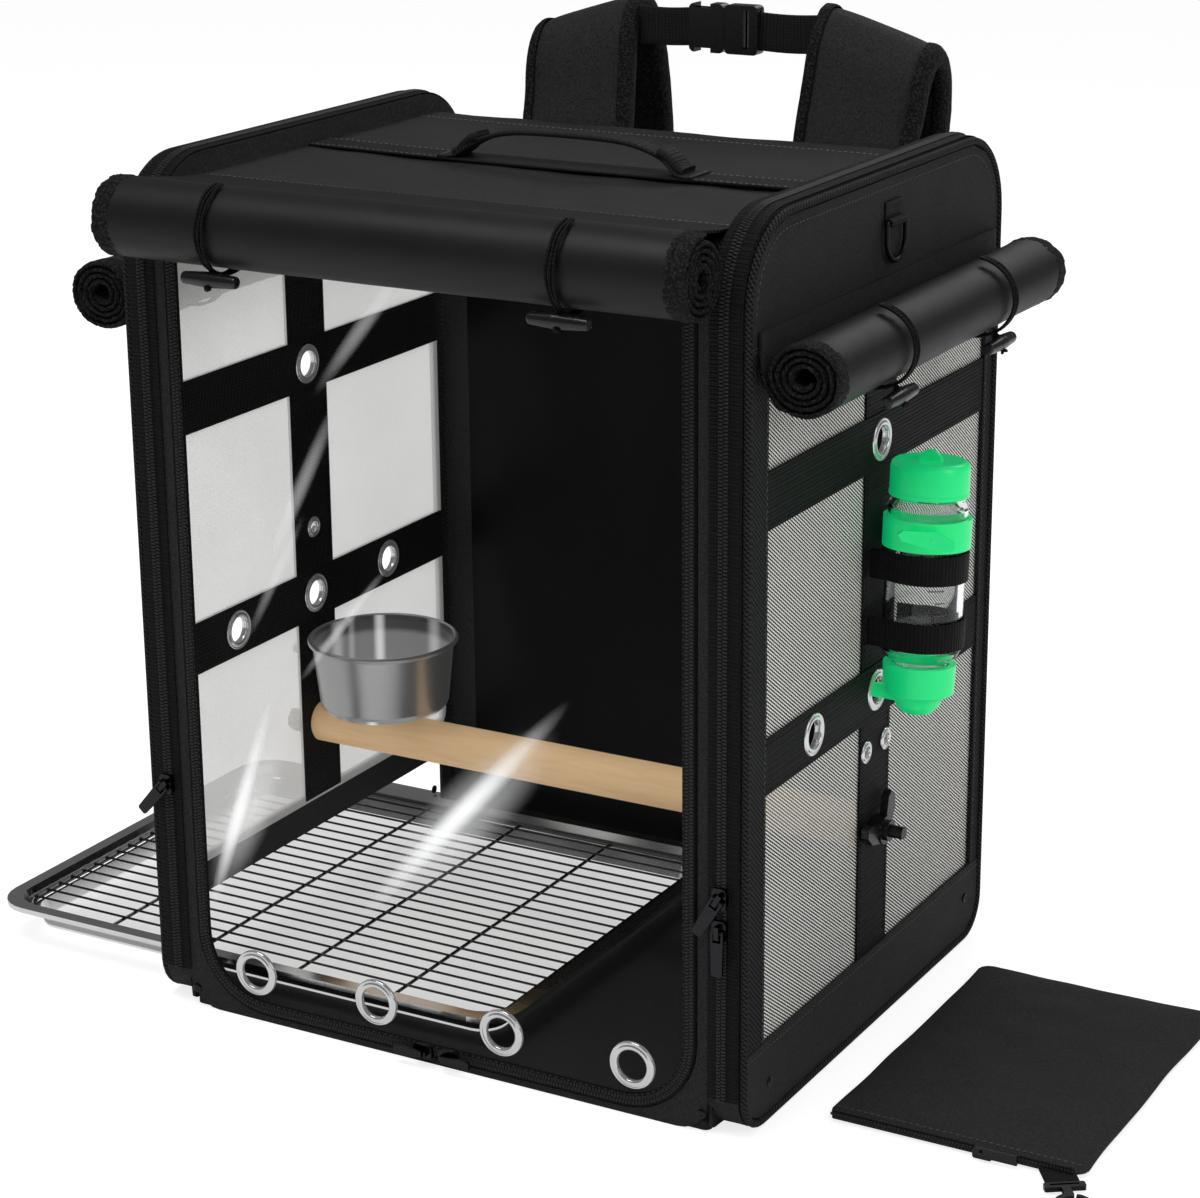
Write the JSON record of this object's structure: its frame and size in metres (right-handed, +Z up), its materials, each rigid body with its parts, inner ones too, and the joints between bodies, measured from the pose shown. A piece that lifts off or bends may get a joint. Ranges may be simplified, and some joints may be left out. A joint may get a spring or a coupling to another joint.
{
  "type": "bird travel carrier",
  "caption": "Soft-sided backpack bird carrier with clear zip door, mesh sides, rolled curtains, perch, bowl, side bottle, slide-out tray with rack, and a pouch",
  "frame": {"origin": "middle of the underside of the cabin's floor board", "axes": "+X towards the bottle side, -Y towards the clear door, +Y towards the shoulder straps, +Z up"},
  "size_m": [0.7819, 0.4719, 0.6],
  "materials": {
    "black_fabric": "matte black oxford cloth, fine even weave",
    "curtain_fabric": "smoother black cloth with a soft sheen",
    "black_webbing": "black woven webbing and elastic",
    "strap_padding": "padded black cloth with bound edges",
    "mesh": "silver-grey see-through mesh",
    "piping": "black corded piping",
    "zip": "black coil zip",
    "clear_sheet": "clear flexible plastic sheet",
    "eyelet_steel": "bright plated eyelets",
    "polished_steel": "polished stainless steel",
    "brushed_steel": "brushed stainless steel",
    "bolt_steel": "plain steel bolts",
    "zip_metal": "gunmetal zip sliders and pulls",
    "dark_metal": "dark plated rings and hook",
    "black_plastic": "black moulded plastic",
    "green_plastic": "bright green moulded plastic",
    "clear_plastic": "clear bottle plastic",
    "wood": "pale smooth hardwood"
  },
  "bodies": {
    "cabin": {"base_panel": "black_fabric", "back_panel": "black_fabric", "top_panel": "black_fabric", "front_frame": "black_fabric", "left_side_panel": "black_fabric", "right_side_panel": "black_fabric", "side_gussets": "black_fabric", "side_mesh": "mesh", "webbing": "black_webbing", "side_zips": "zip", "side_piping": "piping", "wall_eyelets": "eyelet_steel", "front_roll": "curtain_fabric", "left_roll": "curtain_fabric", "right_roll": "curtain_fabric", "roll_ties": "black_webbing", "carry_handle": "black_webbing", "left_shoulder_strap": "strap_padding", "right_shoulder_strap": "strap_padding", "strap_webbing": "black_webbing", "strap_adjusters": "black_plastic", "buckle_socket": "black_plastic", "bottle_loops": "black_webbing", "bottle": "clear_plastic", "bottle_clip": "green_plastic", "bottle_spout": "green_plastic", "perch": "wood", "perch_bolts": "bolt_steel", "bowl": "brushed_steel", "pouch": "black_fabric"},
    "door": {"door_window": "clear_sheet", "door_binding": "zip", "door_eyelets": "eyelet_steel"},
    "tray": {"tray": "polished_steel"},
    "rack": {"wire_rack": "polished_steel"},
    "right_upper_slider": {"right_upper_slider": "zip_metal"},
    "right_upper_pull": {"right_upper_pull": "zip_metal"},
    "right_lower_slider": {"right_lower_slider": "zip_metal"},
    "right_lower_pull": {"right_lower_pull": "zip_metal"},
    "left_slider": {"left_slider": "zip_metal"},
    "left_pull": {"left_pull": "zip_metal"},
    "door_left_slider": {"door_left_slider": "zip_metal"},
    "door_right_slider": {"door_right_slider": "zip_metal"},
    "front_left_toggle": {"front_left_toggle": "black_plastic"},
    "front_right_toggle": {"front_right_toggle": "black_plastic"},
    "left_front_toggle": {"left_front_toggle": "black_plastic"},
    "left_back_toggle": {"left_back_toggle": "black_plastic"},
    "right_front_toggle": {"right_front_toggle": "black_plastic"},
    "right_back_toggle": {"right_back_toggle": "black_plastic"},
    "buckle_plug": {"buckle_plug": "black_plastic"},
    "left_dring": {"left_dring": "dark_metal"},
    "right_dring": {"right_dring": "dark_metal"},
    "bottle_cap": {"bottle_cap": "green_plastic"},
    "clip_lever": {"clip_lever": "green_plastic"},
    "right_wing_nut": {"right_wing_nut": "black_plastic"},
    "left_wing_nut": {"left_wing_nut": "black_plastic"},
    "bowl_nut": {"bowl_nut": "black_plastic"},
    "pouch_slider": {"pouch_slider": "zip_metal"},
    "pouch_hook": {"pouch_hook": "dark_metal"},
    "hook_gate": {"hook_gate": "dark_metal"}
  },
  "joints": [
    {"name": "door_lift", "type": "hinge", "parent": "cabin", "child": "door", "pos_m": [0, -0.1756, 0.4843], "axis": [1, 0, 0], "range_deg": [-70, 0]},
    {"name": "tray_slide", "type": "slide", "parent": "cabin", "child": "tray", "axis": [-1, 0, 0], "range_m": [-0.165, 0.2]},
    {"name": "rack_lift", "type": "slide", "parent": "tray", "child": "rack", "axis": [0, 0, 1], "range_m": [0, 0.026]},
    {"name": "right_upper_slide", "type": "slide", "parent": "cabin", "child": "right_upper_slider", "axis": [0, 0, 1], "range_m": [0, 0.29]},
    {"name": "right_upper_pull_lift", "type": "hinge", "parent": "right_upper_slider", "child": "right_upper_pull", "pos_m": [0.1945, -0.1815, 0.152], "axis": [0.866, 0, -0.5], "range_deg": [-110, 0]},
    {"name": "right_lower_slide", "type": "slide", "parent": "cabin", "child": "right_lower_slider", "axis": [0, 0, 1], "range_m": [-0.085, 0]},
    {"name": "right_lower_pull_lift", "type": "hinge", "parent": "right_lower_slider", "child": "right_lower_pull", "pos_m": [0.1945, -0.1815, 0.132], "axis": [1, 0, 0], "range_deg": [-110, 0]},
    {"name": "left_slide", "type": "slide", "parent": "cabin", "child": "left_slider", "axis": [0, 0, 1], "range_m": [-0.1, 0.29]},
    {"name": "left_pull_lift", "type": "hinge", "parent": "left_slider", "child": "left_pull", "pos_m": [-0.1945, -0.1815, 0.15], "axis": [0.7431, 0, -0.6691], "range_deg": [-110, 0]},
    {"name": "door_left_slide", "type": "slide", "parent": "door", "child": "door_left_slider", "axis": [-1, 0, 0], "range_m": [0, 0.1]},
    {"name": "door_right_slide", "type": "slide", "parent": "door", "child": "door_right_slider", "axis": [1, 0, 0], "range_m": [0, 0.1]},
    {"name": "front_left_toggle_turn", "type": "hinge", "parent": "cabin", "child": "front_left_toggle", "pos_m": [-0.115, -0.21447, 0.48503], "axis": [0, -0.5299, -0.848], "range_deg": [-25, 25]},
    {"name": "front_right_toggle_turn", "type": "hinge", "parent": "cabin", "child": "front_right_toggle", "pos_m": [0.115, -0.21447, 0.48503], "axis": [0, -0.5299, -0.848], "range_deg": [-25, 25]},
    {"name": "left_front_toggle_turn", "type": "hinge", "parent": "cabin", "child": "left_front_toggle", "pos_m": [-0.25205, -0.072, 0.42803], "axis": [-0.5299, 0, -0.848], "range_deg": [-25, 25]},
    {"name": "left_back_toggle_turn", "type": "hinge", "parent": "cabin", "child": "left_back_toggle", "pos_m": [-0.25205, 0.072, 0.42803], "axis": [-0.5299, 0, -0.848], "range_deg": [-25, 25]},
    {"name": "right_front_toggle_turn", "type": "hinge", "parent": "cabin", "child": "right_front_toggle", "pos_m": [0.25205, -0.072, 0.42803], "axis": [0.5299, 0, -0.848], "range_deg": [-25, 25]},
    {"name": "right_back_toggle_turn", "type": "hinge", "parent": "cabin", "child": "right_back_toggle", "pos_m": [0.25205, 0.072, 0.42803], "axis": [0.5299, 0, -0.848], "range_deg": [-25, 25]},
    {"name": "buckle_release", "type": "slide", "parent": "cabin", "child": "buckle_plug", "axis": [1, 0, 0], "range_m": [0, 0.018]},
    {"name": "right_dring_swing", "type": "hinge", "parent": "cabin", "child": "right_dring", "pos_m": [0.21098, 0.01, 0.509], "axis": [0, -1, 0], "range_deg": [0, 110]},
    {"name": "left_dring_swing", "type": "hinge", "parent": "cabin", "child": "left_dring", "pos_m": [-0.21098, 0.01, 0.509], "axis": [0, 1, 0], "range_deg": [0, 110]},
    {"name": "bottle_cap_turn", "type": "hinge", "parent": "cabin", "child": "bottle_cap", "pos_m": [0.23358, 0.01598, 0.36157], "axis": [0, 0.0785, 0.9969], "continuous": true},
    {"name": "clip_lever_turn", "type": "hinge", "parent": "cabin", "child": "clip_lever", "pos_m": [0.24862, -0.01289, 0.32673], "axis": [0.5, -0.8634, 0.0679], "range_deg": [-35, 35]},
    {"name": "right_wing_nut_turn", "type": "hinge", "parent": "cabin", "child": "right_wing_nut", "pos_m": [0.2118, 0.005, 0.132], "axis": [1, 0, 0], "continuous": true},
    {"name": "left_wing_nut_turn", "type": "hinge", "parent": "cabin", "child": "left_wing_nut", "pos_m": [-0.2118, 0.005, 0.132], "axis": [1, 0, 0], "continuous": true},
    {"name": "bowl_nut_turn", "type": "hinge", "parent": "cabin", "child": "bowl_nut", "pos_m": [-0.2118, 0.005, 0.18], "axis": [1, 0, 0], "continuous": true},
    {"name": "pouch_slide", "type": "slide", "parent": "cabin", "child": "pouch_slider", "axis": [1, 0, 0], "range_m": [-0.1, 0.01]},
    {"name": "pouch_hook_swivel", "type": "hinge", "parent": "cabin", "child": "pouch_hook", "pos_m": [0.3945, -0.14199, 0.0027], "axis": [0.5736, -0.8192, 0], "range_deg": [-90, 90]},
    {"name": "hook_gate_swing", "type": "hinge", "parent": "pouch_hook", "child": "hook_gate", "pos_m": [0.40369, -0.1475, 0.0027], "axis": [0, 0, -1], "range_deg": [0, 12], "stiffness_Nm_per_rad": 0.05}
  ]
}
